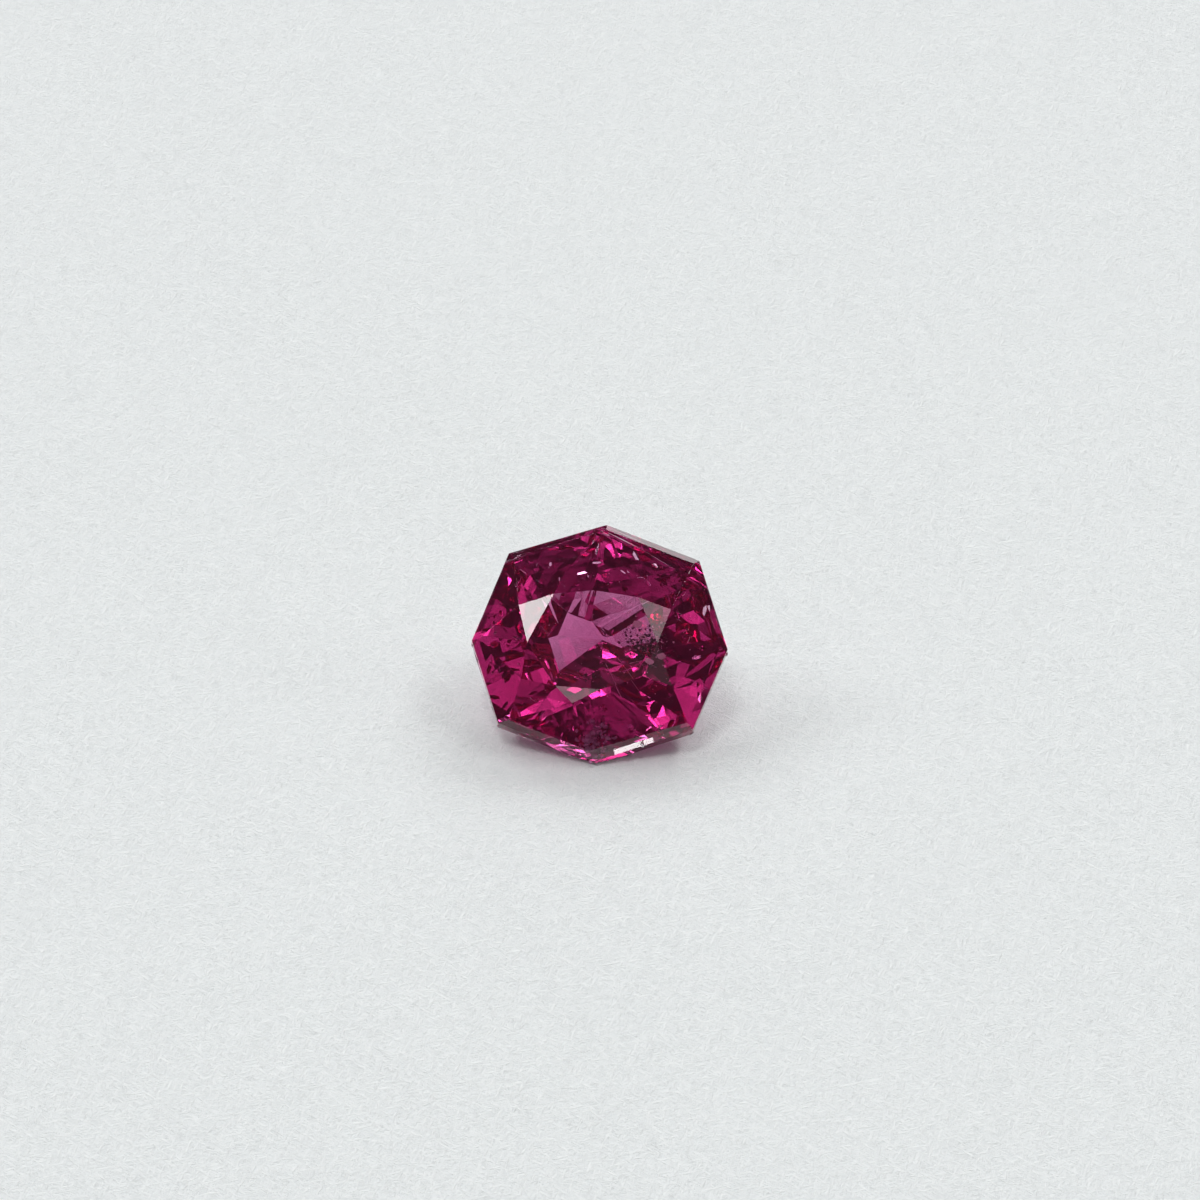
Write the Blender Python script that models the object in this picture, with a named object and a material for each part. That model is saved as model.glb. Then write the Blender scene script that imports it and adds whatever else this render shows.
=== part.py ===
# A cut garnet: an octagonal mixed cut with a brilliant crown over a step-cut pavilion.
# It is ground the way a cutter works, from a preform with the girdle outline and then one
# flat cut per facet. Lengths are millimetres in the stone's own frame, table up and the
# girdle's upper edge at z = 0, until the finished stone is laid down in metres.

from math import cos, radians, sin, tan

import bmesh
import bpy
from mathutils import Matrix, Vector

# Girdle corners as radius and azimuth in degrees, counter-clockwise from the one at -Y
GIRDLE_CORNERS = (
    (3.39, -90.0),
    (3.54, -42.5),
    (3.49, -1.0),
    (3.60, 43.0),
    (3.39, 89.0),
    (3.57, 136.5),
    (3.50, 181.5),
    (3.61, 222.0),
)
GIRDLE_THICKNESS = 0.39

# Crown: a narrow bevel over the girdle, a kite from each girdle corner to a table corner,
# a break over each side and a star from each break to the table
CROWN_HEIGHT = 0.95
BEVEL_SLOPES = (43.0, 43.0, 45.0, 45.0, 45.0, 45.0, 43.0, 64.0)
BEVEL_WIDTH = 0.19
TABLE_CORNERS = (
    (1.64, -88.0),
    (1.70, -46.0),
    (1.59, -9.5),
    (1.44, 45.5),
    (1.20, 100.0),
    (1.67, 141.5),
    (2.02, 191.0),
    (1.97, 233.5),
)
KITE_TURNS = (10.0, -13.5, -5.5, 6.0, 2.0, -4.0, 9.5, 14.0)
STAR_DROPS = (0.26, 0.25, 0.10, 0.10, 0.20, 0.10, 0.13, 0.10)

# Pavilion: three steps over each side, cut by hand, so the mains and the culet facets differ
# a little in slope and depth. The seat is one broad facet under the corner at -Y, ground far
# enough in for the stone to lie on it steadily
STEEP_SLOPE = 61.0
STEEP_DEPTH = 0.58
MAIN_SLOPES = (41.0, 38.0, 36.0, 43.0, 44.0, 38.5, 38.0, 42.5)
MAIN_SHIFTS = (-0.01, -0.10, 0.11, -0.12, -0.03, 0.04, -0.11, -0.12)
CULET_SLOPES = (29.0, 22.0, 24.0, 26.5, 26.5, 29.5, 29.0, 29.5)
CULET_POINT = (0.06, 0.47, -3.02)
SEAT_SLOPE = 38.5
SEAT_INSET = 0.16

UP = Vector((0, 0, 1))
DOWN = Vector((0, 0, -1))
PREFORM_HEIGHT = 8.0
MERGE_DISTANCE = 0.002
METRES_PER_MM = 0.001


def points_around(polar, height):
    """Points at a height, from pairs of radius and azimuth in degrees."""
    return [
        Vector((radius * cos(radians(azimuth)), radius * sin(radians(azimuth)), height))
        for radius, azimuth in polar
    ]


def neighbours(items):
    """Each item with the one that follows it round the stone."""
    return list(zip(items, items[1:] + items[:1]))


def outward(first, second):
    """The horizontal unit vector pointing out of the side between two corners."""
    return (second - first).cross(UP).normalized()


def leaning(direction, slope, axis):
    """The normal of a facet at this slope from the girdle plane, facing a direction in plan."""
    return direction * sin(radians(slope)) + axis * cos(radians(slope))


def plane_through(first, second, third):
    """The upward normal of the plane through three points."""
    normal = (second - first).cross(third - first).normalized()
    return normal if normal.z > 0 else -normal


def meeting_point(*planes):
    """The point shared by three planes, each given as a point and a normal."""
    normals = Matrix([normal for point, normal in planes])
    offsets = Vector([normal.dot(point) for point, normal in planes])
    return normals.inverted() @ offsets


def grind(stone, point, normal):
    """Grind one facet: remove everything outside the plane and close the stone."""
    cut = bmesh.ops.bisect_plane(
        stone,
        geom=stone.verts[:] + stone.edges[:] + stone.faces[:],
        dist=1e-5,
        plane_co=point,
        plane_no=normal,
        clear_outer=True,
    )
    rim = [item for item in cut["geom_cut"] if isinstance(item, bmesh.types.BMEdge)]
    rim = [edge for edge in rim if len(edge.link_faces) == 1]
    if rim:
        bmesh.ops.contextual_create(stone, geom=rim)
    bmesh.ops.remove_doubles(stone, verts=stone.verts[:], dist=MERGE_DISTANCE)


def make_preform(corners):
    """A tall prism with the girdle outline, shaped from an eight-sided cylinder."""
    stone = bmesh.new()
    bmesh.ops.create_cone(
        stone,
        cap_ends=True,
        segments=len(corners),
        radius1=1.0,
        radius2=1.0,
        depth=PREFORM_HEIGHT,
        matrix=Matrix.Rotation(radians(45.0), 4, "Z"),
    )
    for vert in stone.verts:
        corner = max(corners, key=lambda point: point.xy.normalized().dot(vert.co.xy))
        vert.co.xy = corner.xy
    return stone


def cut_pavilion(stone, corners):
    girdle_base = DOWN * GIRDLE_THICKNESS
    step_in = STEEP_DEPTH / tan(radians(STEEP_SLOPE))
    for (first, second), slope, shift in zip(neighbours(corners), MAIN_SLOPES, MAIN_SHIFTS):
        facing = outward(first, second)
        edge = first + girdle_base
        shoulder = edge - facing * step_in + DOWN * STEEP_DEPTH
        normal = leaning(facing, slope, DOWN)
        grind(stone, edge, leaning(facing, STEEP_SLOPE, DOWN))
        grind(stone, shoulder + normal * shift, normal)
    for (first, second), slope in zip(neighbours(corners), CULET_SLOPES):
        grind(stone, Vector(CULET_POINT), leaning(outward(first, second), slope, DOWN))
    seat = leaning(corners[0].normalized(), SEAT_SLOPE, DOWN)
    grind(stone, corners[0] + girdle_base - seat * SEAT_INSET, seat)


def cut_bevels(stone, corners):
    """Grind the bevels and return the points at the girdle corners where their tops meet."""
    normals = []
    for (first, second), slope in zip(neighbours(corners), BEVEL_SLOPES):
        normals.append(leaning(outward(first, second), slope, UP))
        grind(stone, first, normals[-1])
    tops = []
    for index, corner in enumerate(corners):
        slope = (BEVEL_SLOPES[index - 1] + BEVEL_SLOPES[index]) / 2
        level = UP * BEVEL_WIDTH * tan(radians(slope))
        planes = ((corner, normals[index - 1]), (corner, normals[index]), (level, UP))
        tops.append(meeting_point(*planes))
    return tops


def cut_crown(stone, corners):
    table = points_around(TABLE_CORNERS, CROWN_HEIGHT)
    bevel_tops = cut_bevels(stone, corners)

    # each kite holds the line from its bevel corner to its table corner, turned about it
    kites = []
    for low, high, turn in zip(bevel_tops, table, KITE_TURNS):
        run = (high - low).normalized()
        level = run.cross(UP).normalized()
        kites.append(Matrix.Rotation(radians(turn), 3, run) @ level.cross(run))

    # a star's tip is where two kites meet, a little below the table
    tips = []
    meets = zip(neighbours(bevel_tops), neighbours(kites), STAR_DROPS)
    for (low, next_low), (kite, next_kite), drop in meets:
        level = UP * (CROWN_HEIGHT - drop)
        tips.append(meeting_point((low, kite), (next_low, next_kite), (level, UP)))

    for (low, next_low), tip in zip(neighbours(bevel_tops), tips):
        grind(stone, tip, plane_through(low, next_low, tip))
    for low, kite in zip(bevel_tops, kites):
        grind(stone, low, kite)
    for (high, next_high), tip in zip(neighbours(table), tips):
        grind(stone, tip, plane_through(high, next_high, tip))
    grind(stone, UP * CROWN_HEIGHT, UP)


def lay_down(stone):
    """Turn the stone onto its seat, over the origin, and change millimetres to metres."""
    turn = Matrix.Rotation(radians(SEAT_SLOPE), 3, "X")
    bmesh.ops.rotate(stone, verts=stone.verts[:], cent=(0, 0, 0), matrix=turn)
    bmesh.ops.scale(stone, verts=stone.verts[:], vec=(METRES_PER_MM,) * 3)
    low = Vector([min(vert.co[axis] for vert in stone.verts) for axis in range(3)])
    high = Vector([max(vert.co[axis] for vert in stone.verts) for axis in range(3)])
    centre = (low + high) / 2
    bmesh.ops.translate(stone, verts=stone.verts[:], vec=(-centre.x, -centre.y, -low.z))


def garnet_material():
    material = bpy.data.materials.new("garnet")
    material.use_nodes = True
    shader = material.node_tree.nodes["Principled BSDF"]
    shader.inputs["Base Color"].default_value = (0.42, 0.05, 0.16, 1.0)
    shader.inputs["Roughness"].default_value = 0.02
    shader.inputs["IOR"].default_value = 1.76
    shader.inputs["Transmission Weight"].default_value = 1.0
    return material


def main():
    for obj in list(bpy.data.objects):
        bpy.data.objects.remove(obj)
    collection = bpy.data.collections.new("garnet_gemstone")
    bpy.context.scene.collection.children.link(collection)

    corners = points_around(GIRDLE_CORNERS, 0.0)
    stone = make_preform(corners)
    cut_pavilion(stone, corners)
    cut_crown(stone, corners)
    lay_down(stone)
    bmesh.ops.recalc_face_normals(stone, faces=stone.faces[:])

    mesh = bpy.data.meshes.new("cut_garnet")
    stone.to_mesh(mesh)
    stone.free()
    mesh.materials.append(garnet_material())
    collection.objects.link(bpy.data.objects.new("cut_garnet", mesh))


main()
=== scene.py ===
import random
from math import atan2, cos, pi, radians, sin

import bmesh
import bpy
from mathutils import Matrix, Vector


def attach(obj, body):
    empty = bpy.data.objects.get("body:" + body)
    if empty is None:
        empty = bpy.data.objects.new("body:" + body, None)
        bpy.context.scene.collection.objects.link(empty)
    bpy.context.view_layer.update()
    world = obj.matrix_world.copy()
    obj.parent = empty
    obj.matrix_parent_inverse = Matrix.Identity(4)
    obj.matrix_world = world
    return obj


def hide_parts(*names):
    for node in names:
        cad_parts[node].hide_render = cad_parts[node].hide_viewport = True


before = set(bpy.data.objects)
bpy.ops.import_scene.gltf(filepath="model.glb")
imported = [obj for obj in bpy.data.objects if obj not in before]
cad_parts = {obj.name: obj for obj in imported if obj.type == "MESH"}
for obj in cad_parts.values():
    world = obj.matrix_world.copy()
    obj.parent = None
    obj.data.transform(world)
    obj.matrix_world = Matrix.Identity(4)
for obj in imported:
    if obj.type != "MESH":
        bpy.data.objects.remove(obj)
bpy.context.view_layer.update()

# A cut garnet lying on white paper. Sizes are millimetres, changed to metres where a
# mesh or a lamp is made. The stone lies on its seat facet, tilted towards the camera.
mm = 0.001
cadNode = "cut_garnet"


# small helpers
def linearColour(hexColour):
    # sRGB hex to the linear colour that shader sockets take
    channels = [int(hexColour[place:place + 2], 16) / 255 for place in (1, 3, 5)]
    linear = [c / 12.92 if c <= 0.04045 else ((c + 0.055) / 1.055) ** 2.4 for c in channels]
    return (*linear, 1.0)


def newMaterial(name):
    material = bpy.data.materials.new(name)
    material.use_nodes = True
    return material, material.node_tree.nodes["Principled BSDF"]


def addNode(tree, kind, settings=None, links=None):
    # settings are the node's own properties, links go from an input to a value or a socket
    node = tree.nodes.new(kind)
    for name, value in (settings or {}).items():
        setattr(node, name, value)
    for name, value in (links or {}).items():
        if isinstance(value, bpy.types.NodeSocket):
            tree.links.new(value, node.inputs[name])
        else:
            node.inputs[name].default_value = value
    return node


def makeObject(name, shape, material):
    mesh = bpy.data.meshes.new(name)
    shape.to_mesh(mesh)
    shape.free()
    mesh.materials.append(material)
    piece = bpy.data.objects.new(name, mesh)
    bpy.context.scene.collection.objects.link(piece)
    return piece


def onTheStone(piece):
    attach(piece, "root")
    return piece


# the stone
stone = {
    "weld": 0.002,          # loose CAD triangles are joined within this distance
    "flatWithin": 0.3,      # degrees, triangles of one facet are joined into one face
    "edgeWear": 0.008,      # width of the rub along the facet edges
    "rubAt": (1.31, -2.40, 0.46),      # the foot of the bevel that is rubbed flatter, near here
    "rubFrom": 0.20,        # shares of the foot's length
    "rubTo": 0.60,
    "rubHeight": 0.15,
    "rubDepth": 0.029,
    "unevenFrom": 38.2,     # degrees from the culet's direction, the facets from here to the
    "unevenTo": 88.0,       # girdle were polished by hand and are a little uneven
    "cuts": 4,              # divisions along an edge of an uneven facet
    "unevenBy": 0.024,      # how far the surface strays from flat
    "shuffle": 0.09,        # how far the patches' corners move within the facet
    "seed": 7,
}

# Garnet, cut and polished with fine diamond: glass-clear and sharp, so the eye gets the
# raspberry colour from the path the light takes inside and white glints from the surface
garnet = {
    "ior": 1.76,
    "roughness": 0.0,
    "spared": (0.82, 0.0, 0.53),     # share of red, green and blue that the body lets pass
    "density": 490.0,                # per metre
    "haze": 20.0,                   # per metre, the finest inclusions scatter a little light
    "hazeColour": (1.0, 0.5, 0.75),
}


def makeGarnet(name):
    material, shader = newMaterial(name)
    tree = material.node_tree
    shader.inputs["Base Color"].default_value = (1, 1, 1, 1)
    shader.inputs["Roughness"].default_value = garnet["roughness"]
    shader.inputs["IOR"].default_value = garnet["ior"]
    shader.inputs["Transmission Weight"].default_value = 1.0
    body = addNode(tree, "ShaderNodeVolumeAbsorption", links={
        "Color": (*garnet["spared"], 1.0), "Density": garnet["density"]})
    haze = addNode(tree, "ShaderNodeVolumeScatter", links={
        "Color": (*garnet["hazeColour"], 1.0), "Density": garnet["haze"]})
    both = addNode(tree, "ShaderNodeAddShader", links={0: body.outputs[0], 1: haze.outputs[0]})
    tree.links.new(both.outputs[0], tree.nodes["Material Output"].inputs["Volume"])
    return material


def rubBevel(shape):
    # a short stretch at the foot of one bevel is rubbed flatter, and mirrors the low lamp
    middle = Vector(stone["rubAt"]) * mm
    foot = min(shape.edges, key=lambda edge: (
        (edge.verts[0].co + edge.verts[1].co) / 2 - middle).length)
    left, right = [vert.co.copy() for vert in sorted(foot.verts, key=lambda vert: vert.co.x)]
    along = right - left
    facing = max([face.normal.copy() for face in foot.link_faces], key=lambda normal: normal.z)
    rise = facing.cross(along).normalized()
    rise *= 1 if rise.z > 0 else -1
    start, end = left + along * stone["rubFrom"], left + along * stone["rubTo"]
    top = left + rise * stone["rubHeight"] * mm
    for place, direction in ((start, along), (end, along), (top, rise)):
        faces = [face for face in shape.faces if face.normal.dot(facing) > 0.99999]
        edges = {edge for face in faces for edge in face.edges}
        verts = {vert for face in faces for vert in face.verts}
        bmesh.ops.bisect_plane(
            shape, geom=faces + list(edges) + list(verts), plane_co=place, plane_no=direction)
    for vert in shape.verts:
        share = (vert.co - left).dot(along) / along.length_squared
        within = stone["rubFrom"] - 0.01 < share < stone["rubTo"] + 0.01
        if within and abs((vert.co - top).dot(rise)) < 1e-6 and abs((vert.co - top).dot(facing)) < 1e-6:
            vert.co -= facing * stone["rubDepth"] * mm
    shape.normal_update()


def unevenPolish(shape):
    # the pavilion's outer facets get shallow random swells, seen as a mosaic through the table
    table = max(shape.faces, key=lambda face: face.calc_area() if face.normal.z > 0 else 0)
    culetWay = -table.normal
    low, high = radians(stone["unevenFrom"]), radians(stone["unevenTo"])

    def isUneven(face):
        return low < face.normal.angle(culetWay) < high

    outer = [face for face in shape.faces if isUneven(face)]
    marked = set(bmesh.ops.triangulate(shape, faces=outer)["faces"])
    edges = list({edge for face in marked for edge in face.edges
                  if all(linked in marked for linked in edge.link_faces)})
    bmesh.ops.subdivide_edges(shape, edges=edges, cuts=stone["cuts"], use_grid_fill=True)
    shape.normal_update()
    chance = random.Random(stone["seed"])
    moves = {}
    for vert in shape.verts:
        if all(isUneven(face) for face in vert.link_faces):
            move = vert.normal * chance.uniform(-1, 0) * stone["unevenBy"]
            if all(face.normal.dot(vert.normal) > 0.9999 for face in vert.link_faces):
                away = Vector([chance.uniform(-1, 1) for _ in range(3)]) * stone["shuffle"]
                move += away - vert.normal * away.dot(vert.normal)
            moves[vert] = move * mm
    for vert, move in moves.items():
        vert.co += move
    print("uneven polish on", len(moves), "points")


def makeStone():
    shape = bmesh.new()
    shape.from_mesh(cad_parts[cadNode].data)
    bmesh.ops.remove_doubles(shape, verts=shape.verts, dist=stone["weld"] * mm)
    bmesh.ops.dissolve_limit(
        shape, angle_limit=radians(stone["flatWithin"]), use_dissolve_boundaries=False,
        verts=shape.verts, edges=shape.edges, delimit=set())
    rubBevel(shape)
    bmesh.ops.bevel(
        shape, geom=shape.edges[:], offset=stone["edgeWear"] * mm, offset_type="OFFSET",
        segments=1, profile=0.5, affect="EDGES", clamp_overlap=True, material=-1)
    shape.normal_update()
    unevenPolish(shape)
    bmesh.ops.recalc_face_normals(shape, faces=shape.faces)
    for face in shape.faces:
        face.smooth = False
    piece = onTheStone(makeObject("garnet_stone", shape, makeGarnet("polished garnet")))
    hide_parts(cadNode)
    print("stone:", len(piece.data.polygons), "faces")
    return piece


# what the crystal grew around, seen through the table. Places are millimetres right of the
# table's middle, up its slope and down into the stone
inclusions = {
    "crumbs": {
        "place": (1.15, 0.10), "spread": (0.62, 0.62), "depth": (0.30, 1.1),
        "count": 230, "size": (0.014, 0.060), "seed": 3},
    "lowerCrumbs": {
        "place": (-0.32, -0.78), "spread": (0.30, 0.16), "depth": (0.5, 0.9),
        "count": 34, "size": (0.014, 0.045), "seed": 5},
    "paleCrumbs": {
        "place": (1.20, 0.15), "spread": (0.65, 0.70), "depth": (0.25, 0.7),
        "count": 70, "size": (0.012, 0.045), "seed": 8},
    "mottle": {
        "place": (-0.15, -2.35), "spread": (0.40, 0.55), "depth": (0.80, 1.15),
        "count": 90, "size": (0.03, 0.10), "seed": 13},
    "specks": {
        "place": (0.2, 0.3), "spread": (2.3, 2.0), "depth": (0.35, 1.5),
        "count": 110, "size": (0.008, 0.022), "seed": 11},
    "veils": {
        # healed fractures, thin films of liquid that turn part of the light aside
        "ring": (2.0, 2.95), "depth": (0.85, 1.75), "count": 70, "size": (0.06, 0.24),
        "corners": 5, "thickness": 0.006, "ior": 0.80, "seed": 21},
    "needles": (
        # from, to, thickness
        ((0.10, -0.40, 0.8), (0.50, -1.14, 0.9), 0.016),
        ((0.42, -0.20, 0.9), (0.95, -0.85, 1.1), 0.010),
        ((0.75, -0.42, 0.5), (1.12, -0.30, 0.6), 0.014),
        ((1.12, -0.30, 0.6), (1.40, -0.42, 0.7), 0.012),
        ((-1.05, 0.05, 0.6), (-0.55, 0.02, 0.9), 0.010),
    ),
    "flakes": (
        # place, half width, lean in degrees
        ((0.92, 0.72, 0.5), 0.15, (12, 20)),
        ((1.10, 0.36, 0.6), 0.12, (-10, 25)),
        ((1.55, -0.15, 0.5), 0.13, (18, -8)),
        ((1.25, -0.32, 0.5), 0.10, (5, 14)),
    ),
}


def tableFrame():
    # the table's middle, its normal, its slope upwards and the direction across it
    shape = bmesh.new()
    shape.from_mesh(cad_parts[cadNode].data)
    normal = max(shape.faces, key=lambda face: face.calc_area() * (face.normal.z > 0.5)).normal
    corners = [vert.co for face in shape.faces if face.normal.dot(normal) > 0.9999
               for vert in face.verts]
    middle = sum(corners, Vector()) / len(corners)
    across = Vector((1, 0, 0))
    axes = (middle.copy(), across, normal.cross(across).normalized(), normal.copy())
    shape.free()
    return axes


def underTable(place, depth):
    middle, across, upwards, normal = tableAxes
    return middle + (across * place[0] + upwards * place[1] - normal * depth) * mm


def makeInnerMineral(name, hexColour, roughness):
    # other minerals shut in the garnet: small angular grains that scatter the light
    material, shader = newMaterial(name)
    tree = material.node_tree
    place = addNode(tree, "ShaderNodeTexCoord").outputs["Object"]
    grain = addNode(tree, "ShaderNodeTexNoise", links={"Vector": place, "Scale": 1 / (0.03 * mm)})
    tone = addNode(tree, "ShaderNodeMix", {"data_type": "RGBA"}, {
        "Factor": grain.outputs["Fac"], "A": linearColour(hexColour[0]),
        "B": linearColour(hexColour[1])})
    tree.links.new(tone.outputs["Result"], shader.inputs["Base Color"])
    shader.inputs["Roughness"].default_value = roughness
    return material


def scatterGrains(shape, heap):
    chance = random.Random(heap["seed"])
    for _ in range(heap["count"]):
        away = Vector((chance.gauss(0, 0.45), chance.gauss(0, 0.45)))
        place = (heap["place"][0] + away.x * heap["spread"][0],
                 heap["place"][1] + away.y * heap["spread"][1])
        size = chance.uniform(*heap["size"])
        grain = Matrix.Translation(underTable(place, chance.uniform(*heap["depth"])))
        grain = grain @ Matrix.Rotation(chance.uniform(0, 2 * pi), 4, "Z")
        grain = grain @ Matrix.Rotation(chance.uniform(0, pi), 4, "X")
        grain = grain @ Matrix.Diagonal((
            size * mm, size * mm * chance.uniform(0.5, 1), size * mm * chance.uniform(0.3, 0.8), 1))
        made = bmesh.ops.create_icosphere(shape, subdivisions=1, radius=1.0, matrix=grain)
        for vert in made["verts"]:
            vert.co += Vector([chance.uniform(-0.25, 0.25) * size * mm for _ in range(3)])


def makeVeils(heap):
    # the film is clear, and thinner to the light than the garnet around it
    material, shader = newMaterial("healed fractures")
    shader.inputs["Base Color"].default_value = (1, 1, 1, 1)
    shader.inputs["Roughness"].default_value = 0.02
    shader.inputs["IOR"].default_value = heap["ior"]
    shader.inputs["Transmission Weight"].default_value = 1.0
    chance = random.Random(heap["seed"])
    shape = bmesh.new()
    for _ in range(heap["count"]):
        radius, way = chance.uniform(*heap["ring"]), chance.uniform(0, 2 * pi)
        size = chance.uniform(*heap["size"]) * mm
        veil = Matrix.Translation(underTable(
            (radius * cos(way), radius * sin(way)), chance.uniform(*heap["depth"])))
        veil = veil @ Matrix.Rotation(chance.uniform(0, 2 * pi), 4, "Z")
        veil = veil @ Matrix.Rotation(chance.uniform(0, pi), 4, "X")
        veil = veil @ Matrix.Diagonal((1, chance.uniform(0.5, 0.9), 1, 1))
        made = bmesh.ops.create_cone(
            shape, cap_ends=True, segments=heap["corners"], radius1=size, radius2=size,
            depth=heap["thickness"] * mm, matrix=veil)
        back = veil.inverted()
        ragged = [chance.uniform(0.6, 1.1) for _ in range(heap["corners"])]
        for vert in made["verts"]:
            flat = back @ vert.co
            corner = round(atan2(flat.y, flat.x) / (2 * pi) * heap["corners"]) % heap["corners"]
            flat.xy *= ragged[corner]
            vert.co = veil @ flat
    return onTheStone(makeObject("healed_fractures", shape, material))


def makeInclusions():
    makeVeils(inclusions["veils"])
    pale = makeInnerMineral("pale crystals", ("#F0C8D8", "#D77FA6"), 0.35)
    dark = makeInnerMineral("dark grains", ("#2A0816", "#4A1028"), 0.5)
    shape = bmesh.new()
    scatterGrains(shape, inclusions["crumbs"])
    scatterGrains(shape, inclusions["lowerCrumbs"])
    onTheStone(makeObject("dark_grains", shape, dark))
    shape = bmesh.new()
    scatterGrains(shape, inclusions["specks"])
    scatterGrains(shape, inclusions["paleCrumbs"])
    onTheStone(makeObject("pale_specks", shape, pale))
    shape = bmesh.new()
    scatterGrains(shape, inclusions["mottle"])
    mauve = makeInnerMineral("mauve crystals", ("#C98BB0", "#8E4A78"), 0.4)
    onTheStone(makeObject("mauve_mottle", shape, mauve))
    shape = bmesh.new()
    for start, end, width in inclusions["needles"]:
        low, high = underTable(start[:2], start[2]), underTable(end[:2], end[2])
        turn = (high - low).to_track_quat("Z", "Y").to_matrix().to_4x4()
        bmesh.ops.create_cone(
            shape, cap_ends=True, segments=6, radius1=width * mm / 2, radius2=width * mm / 3,
            depth=(high - low).length, matrix=Matrix.Translation((low + high) / 2) @ turn)
    onTheStone(makeObject("silk_needles", shape, pale))
    shape = bmesh.new()
    chance = random.Random(4)
    for place, half, lean in inclusions["flakes"]:
        flat = Matrix.Translation(underTable(place[:2], place[2]))
        flat = flat @ tableAxes[3].to_track_quat("Z", "Y").to_matrix().to_4x4()
        flat = flat @ Matrix.Rotation(radians(lean[0]), 4, "X")
        flat = flat @ Matrix.Rotation(radians(lean[1]), 4, "Y")
        made = bmesh.ops.create_icosphere(
            shape, subdivisions=2, radius=half * mm,
            matrix=flat @ Matrix.Diagonal((1, 0.75, 0.05, 1)))
        for vert in made["verts"]:
            ragged = chance.uniform(0.75, 1.1)
            vert.co = flat.translation + (vert.co - flat.translation) * ragged
    onTheStone(makeObject("healed_flakes", shape, pale))
    print("inclusions grown")


# the paper that it lies on
paper = {
    "size": 900.0,
    "gap": 0.02,            # the stone rests on the tips of the fibres
    "colour": "#E7EAEA",
    "paintedShade": "#DFE3E4",     # painted shade: a darker colour where the fibres lie low, between them
    "roughness": 0.85,
    "fibre": 0.07,          # mm, thickness of a fibre bundle
    "fibreLength": 0.35,
    "relief": 0.06,
    "cloud": 4.0,           # mm across the thicker and thinner patches
}


def makePaper():
    # cotton paper, felt side: matt and white, with short fibres pressed flat every way
    material, shader = newMaterial("cotton paper")
    tree = material.node_tree
    place = addNode(tree, "ShaderNodeTexCoord").outputs["Object"]
    heights = []
    for turn in (20, 75, 140):
        lying = addNode(tree, "ShaderNodeMapping", {"vector_type": "TEXTURE"}, {
            "Vector": place, "Rotation": (0, 0, radians(turn)),
            "Scale": (paper["fibreLength"] * mm, paper["fibre"] * mm, mm)})
        heights.append(addNode(tree, "ShaderNodeTexNoise", links={
            "Vector": lying.outputs["Vector"], "Scale": 1.0, "Detail": 2.0,
            "Distortion": 1.2}).outputs["Fac"])
    upper = addNode(tree, "ShaderNodeMath", {"operation": "MAXIMUM"}, {0: heights[0], 1: heights[1]})
    mesh = addNode(tree, "ShaderNodeMath", {"operation": "MAXIMUM"}, {
        0: upper.outputs[0], 1: heights[2]})
    cloud = addNode(tree, "ShaderNodeTexNoise", links={
        "Vector": place, "Scale": 1 / (paper["cloud"] * mm), "Detail": 3.0})
    height = addNode(tree, "ShaderNodeMath", {"operation": "MULTIPLY_ADD"}, {
        0: cloud.outputs["Fac"], 1: 0.4, 2: mesh.outputs[0]})
    # painted shade: the colour turns darker where the fibre height is low, in the hollows between the
    # fibres, on top of the shading that the bump gives
    tone = addNode(tree, "ShaderNodeMix", {"data_type": "RGBA"}, {
        "Factor": addNode(tree, "ShaderNodeMapRange", links={
            "Value": mesh.outputs[0], "From Min": 0.45, "From Max": 0.7}).outputs[0],
        "A": linearColour(paper["paintedShade"]), "B": linearColour(paper["colour"])})
    bump = addNode(tree, "ShaderNodeBump", links={
        "Height": height.outputs[0], "Distance": paper["relief"] * mm, "Strength": 1.0})
    tree.links.new(tone.outputs["Result"], shader.inputs["Base Color"])
    tree.links.new(bump.outputs["Normal"], shader.inputs["Normal"])
    shader.inputs["Roughness"].default_value = paper["roughness"]
    shape = bmesh.new()
    bmesh.ops.create_grid(
        shape, x_segments=1, y_segments=1, size=paper["size"] * mm / 2,
        matrix=Matrix.Translation((0, 0, -paper["gap"] * mm)))
    sheet = makeObject("paper", shape, material)
    print("paper laid")
    return sheet


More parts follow.
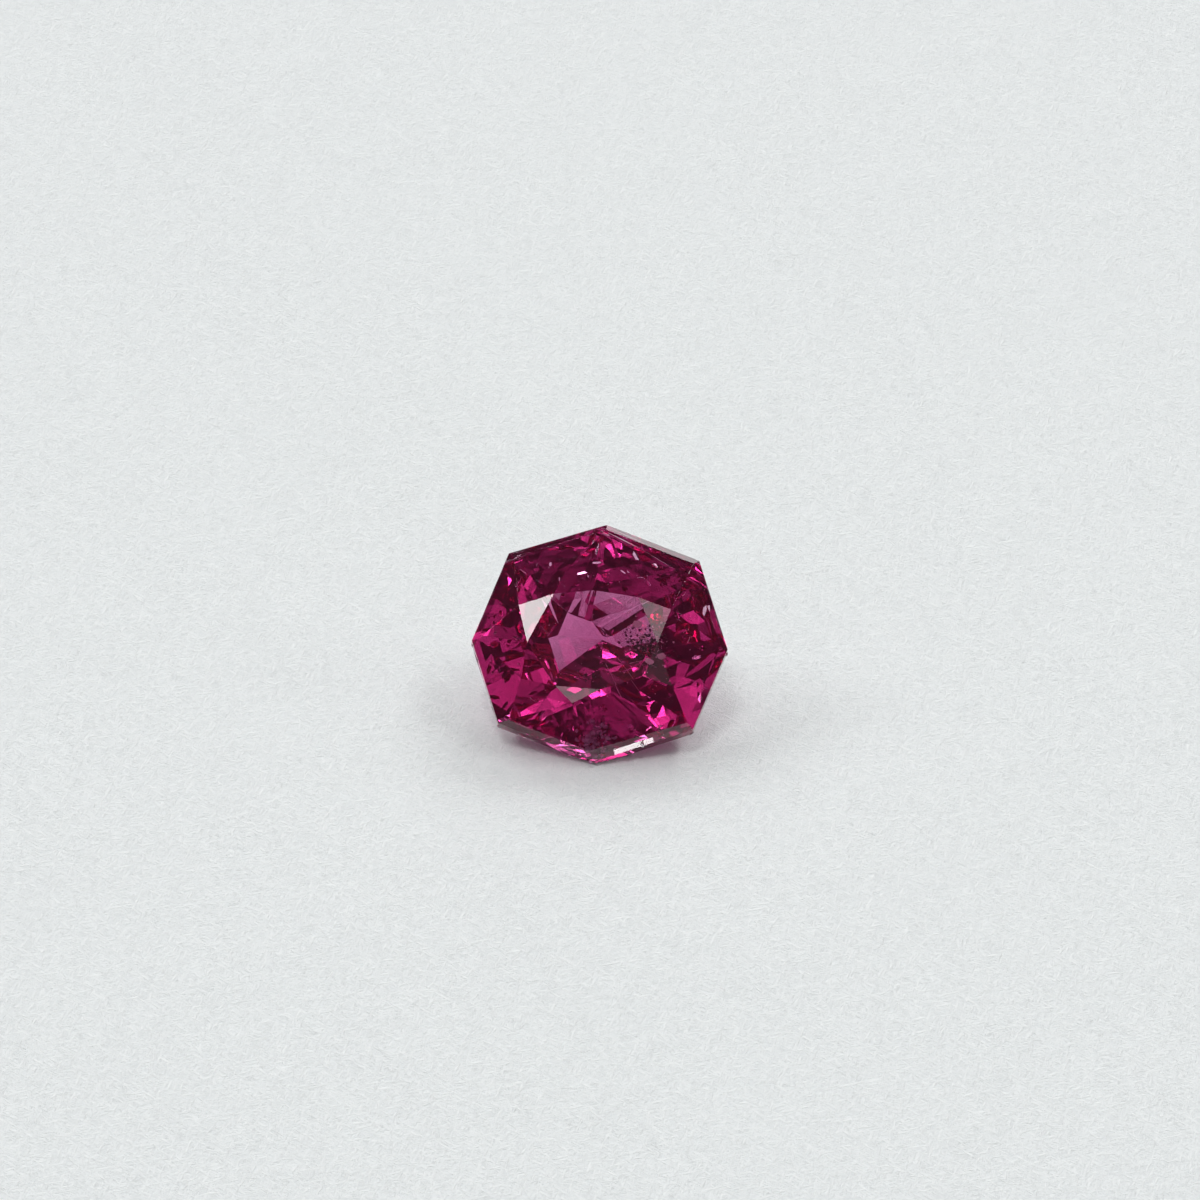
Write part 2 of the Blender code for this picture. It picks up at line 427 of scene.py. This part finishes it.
# lights: soft lamps far away, each given by the direction it stands in as seen from the
# stone (azimuth from the far side towards the right), its size and its strength
lampPower = 1.1
surround = 0.025
lamps = (
    # the row of windows behind
    {"azimuth": -80, "elevation": 38, "halfWidth": 9, "soft": 5, "strength": 5.7},
    {"azimuth": -54, "elevation": 38, "halfWidth": 9, "soft": 5, "strength": 3.1},
    {"azimuth": -28, "elevation": 37, "halfWidth": 9, "soft": 5, "strength": 4.6},
    {"azimuth": -3, "elevation": 36, "halfWidth": 8, "soft": 4, "strength": 4.1},
    {"azimuth": 20, "elevation": 35, "halfWidth": 8, "soft": 4, "strength": 6.2},
    {"azimuth": 42, "elevation": 38, "halfWidth": 8, "soft": 4, "strength": 5.0},
    {"azimuth": 64, "elevation": 52, "halfWidth": 7, "soft": 4, "strength": 5.2},
    {"azimuth": 88, "elevation": 57, "halfWidth": 8, "soft": 4, "strength": 3.9},
    # the lamp on the left, high up, and the weaker ones to the right
    {"azimuth": -133, "elevation": 73, "halfWidth": 9, "soft": 4, "strength": 7.4},
    {"azimuth": 168, "elevation": 58, "halfWidth": 8, "soft": 5, "strength": 0.9},
    {"azimuth": 136, "elevation": 71, "halfWidth": 7, "soft": 4, "strength": 1.4},
    # weak fill from the front on both sides
    {"azimuth": -133, "elevation": 32, "halfWidth": 10, "soft": 6, "strength": 0.36},
    {"azimuth": 145, "elevation": 25, "halfWidth": 6, "soft": 4, "strength": 0.45},
    {"azimuth": 138, "elevation": 43, "halfWidth": 8, "soft": 5, "strength": 0.2},
    # low light behind and beside, and what comes from above the camera
    {"azimuth": 0, "elevation": 3, "halfWidth": 11, "soft": 5, "strength": 1.2},
    {"azimuth": 91, "elevation": 27, "halfWidth": 7, "soft": 5, "strength": 1.9},
    {"azimuth": -179, "elevation": 45, "halfWidth": 7, "soft": 4, "strength": 1.3},
    {"azimuth": 14, "elevation": 20, "halfWidth": 5, "soft": 3, "strength": 2.0},
    # a small lamp low in front, the white line on the rubbed edge
    {"azimuth": 157, "elevation": 6, "halfWidth": 3, "soft": 1, "strength": 9.5},
)


def lightScene():
    world = bpy.data.worlds.new("studio")
    world.use_nodes = True
    bpy.context.scene.world = world
    tree = world.node_tree
    direction = addNode(tree, "ShaderNodeTexCoord").outputs["Generated"]
    total = addNode(tree, "ShaderNodeValue")
    total.outputs[0].default_value = surround
    light = total.outputs[0]
    for lamp in lamps:
        azimuth, elevation = radians(lamp["azimuth"]), radians(lamp["elevation"])
        towards = (sin(azimuth) * cos(elevation), cos(azimuth) * cos(elevation), sin(elevation))
        along = addNode(tree, "ShaderNodeVectorMath", {"operation": "DOT_PRODUCT"}, {
            0: direction, 1: towards})
        edge = addNode(tree, "ShaderNodeMapRange", {"interpolation_type": "SMOOTHSTEP"}, {
            "Value": along.outputs["Value"],
            "From Min": cos(radians(lamp["halfWidth"] + lamp["soft"])),
            "From Max": cos(radians(max(lamp["halfWidth"] - lamp["soft"], 0))),
            "To Min": 0.0, "To Max": lamp["strength"] * lampPower})
        light = addNode(tree, "ShaderNodeMath", {"operation": "ADD"}, {
            0: light, 1: edge.outputs[0]}).outputs[0]
    tree.links.new(light, tree.nodes["Background"].inputs["Strength"])
    tree.nodes["Background"].inputs["Color"].default_value = (1, 1, 1, 1)
    print("studio lit by", len(lamps), "lamps")


# the camera looks down on the stone from in front, a little rolled
camera = {
    "distance": 210.0,
    "elevation": 33.5,
    "roll": 2.2,
    "width": 32.76,          # mm across the picture at the stone
    "aim": (0.005, -0.141, 2.256),     # girdle centre, over the middle of the seat
    "raise": 1.158,          # mm from the girdle centre up to the picture's middle
}


def placeCamera():
    lens = bpy.data.cameras.new("camera")
    viewer = bpy.data.objects.new("camera", lens)
    bpy.context.scene.collection.objects.link(viewer)
    tilt = radians(camera["elevation"])
    back = Vector((0, -cos(tilt), sin(tilt)))
    roll = Matrix.Rotation(radians(camera["roll"]), 3, back)
    up = roll @ Vector((0, sin(tilt), cos(tilt)))
    right = up.cross(back)
    target = Vector(camera["aim"]) + up * camera["raise"]
    place = Matrix((right, up, back)).transposed().to_4x4()
    place.translation = (target + back * camera["distance"]) * mm
    viewer.matrix_world = place
    lens.sensor_width = 36.0
    lens.lens = lens.sensor_width * camera["distance"] / camera["width"]
    lens.clip_start = 0.001
    bpy.context.scene.camera = viewer
    print("camera placed")


def setLightPaths():
    scene = bpy.context.scene
    scene.view_settings.view_transform = "Standard"
    scene.cycles.max_bounces = 16
    scene.cycles.transmission_bounces = 16
    scene.cycles.glossy_bounces = 16
    scene.cycles.volume_bounces = 3
    scene.cycles.caustics_refractive = True


placeCamera()
tableAxes = tableFrame()
makeStone()
makeInclusions()
makePaper()
lightScene()
setLightPaths()
